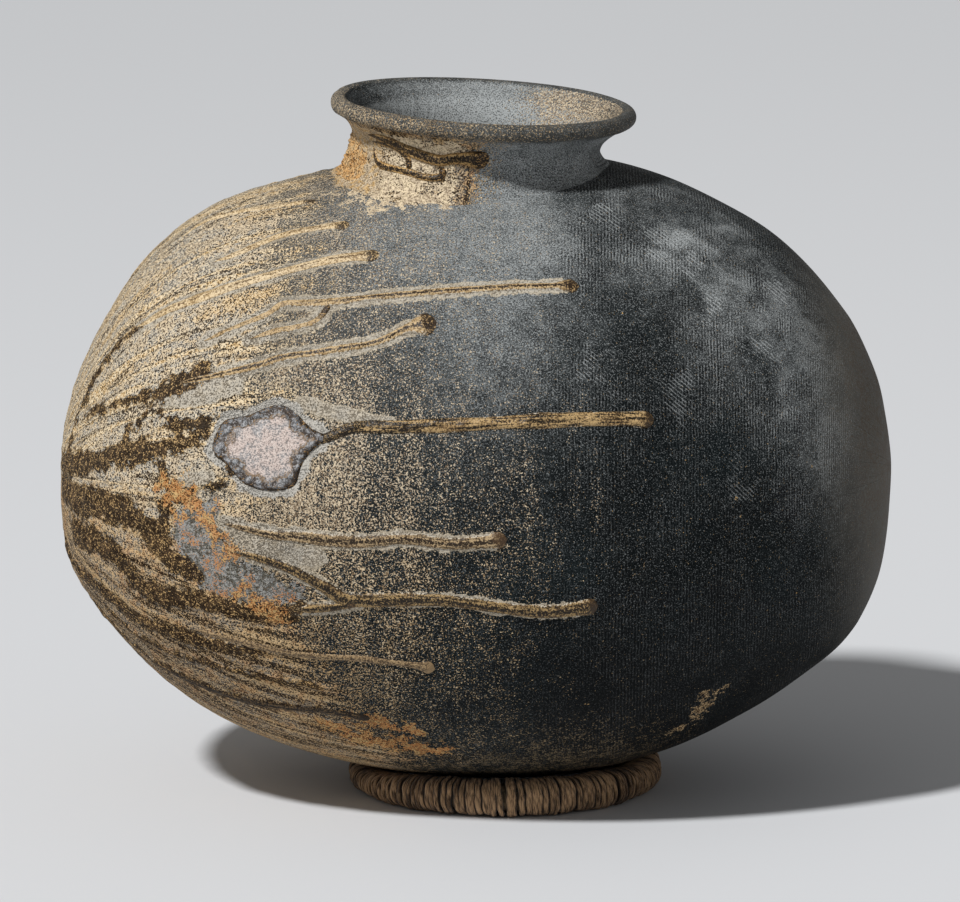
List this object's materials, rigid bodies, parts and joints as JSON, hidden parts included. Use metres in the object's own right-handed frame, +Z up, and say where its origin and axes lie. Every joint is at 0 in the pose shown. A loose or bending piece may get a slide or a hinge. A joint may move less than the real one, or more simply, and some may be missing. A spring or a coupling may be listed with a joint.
{
  "type": "recumbent jar",
  "caption": "Barrel-shaped stoneware jar lying on its side, with a short flared neck on top and runs of ash glaze, resting on a cord-wound ring.",
  "frame": {"origin": "on the table, under the middle of the barrel's length", "axes": "+X along the barrel towards its closing disc, -Y the front with the kiln scar, +Z up through the neck"},
  "size_m": [0.414, 0.3184, 0.3522],
  "materials": {
    "stoneware": "unglazed, combed and paddled, dusted with ash",
    "ash_glaze": "fused natural ash, satin",
    "fragment": "matt, broken surface",
    "cord": "twisted plant fibre",
    "padding": "hidden core"
  },
  "bodies": {
    "ring": {"ring_core": "padding", "ring_winding": "cord"},
    "jar": {"end_bowl": "stoneware", "belly_course": "stoneware", "shoulder_course": "stoneware", "closing_disc": "stoneware", "neck_collar": "stoneware", "kiln_scar": "fragment", "neck_ash_crust": "ash_glaze", "neck_glaze_run": "ash_glaze", "glaze_run_front_1": "ash_glaze", "glaze_run_front_2": "ash_glaze", "glaze_run_front_3": "ash_glaze", "glaze_run_front_4": "ash_glaze", "glaze_run_front_5": "ash_glaze", "glaze_run_front_6": "ash_glaze", "glaze_run_front_7": "ash_glaze", "glaze_run_front_8": "ash_glaze", "glaze_run_front_9": "ash_glaze", "glaze_run_front_10": "ash_glaze", "glaze_run_back_1": "ash_glaze", "glaze_run_back_2": "ash_glaze", "glaze_run_back_3": "ash_glaze", "glaze_run_back_4": "ash_glaze", "glaze_run_back_5": "ash_glaze", "glaze_run_back_6": "ash_glaze"}
  },
  "joints": [
    {"name": "jar_lift", "type": "slide", "parent": "ring", "child": "jar", "axis": [0, 0, 1], "range_m": [0, 0.1]}
  ]
}
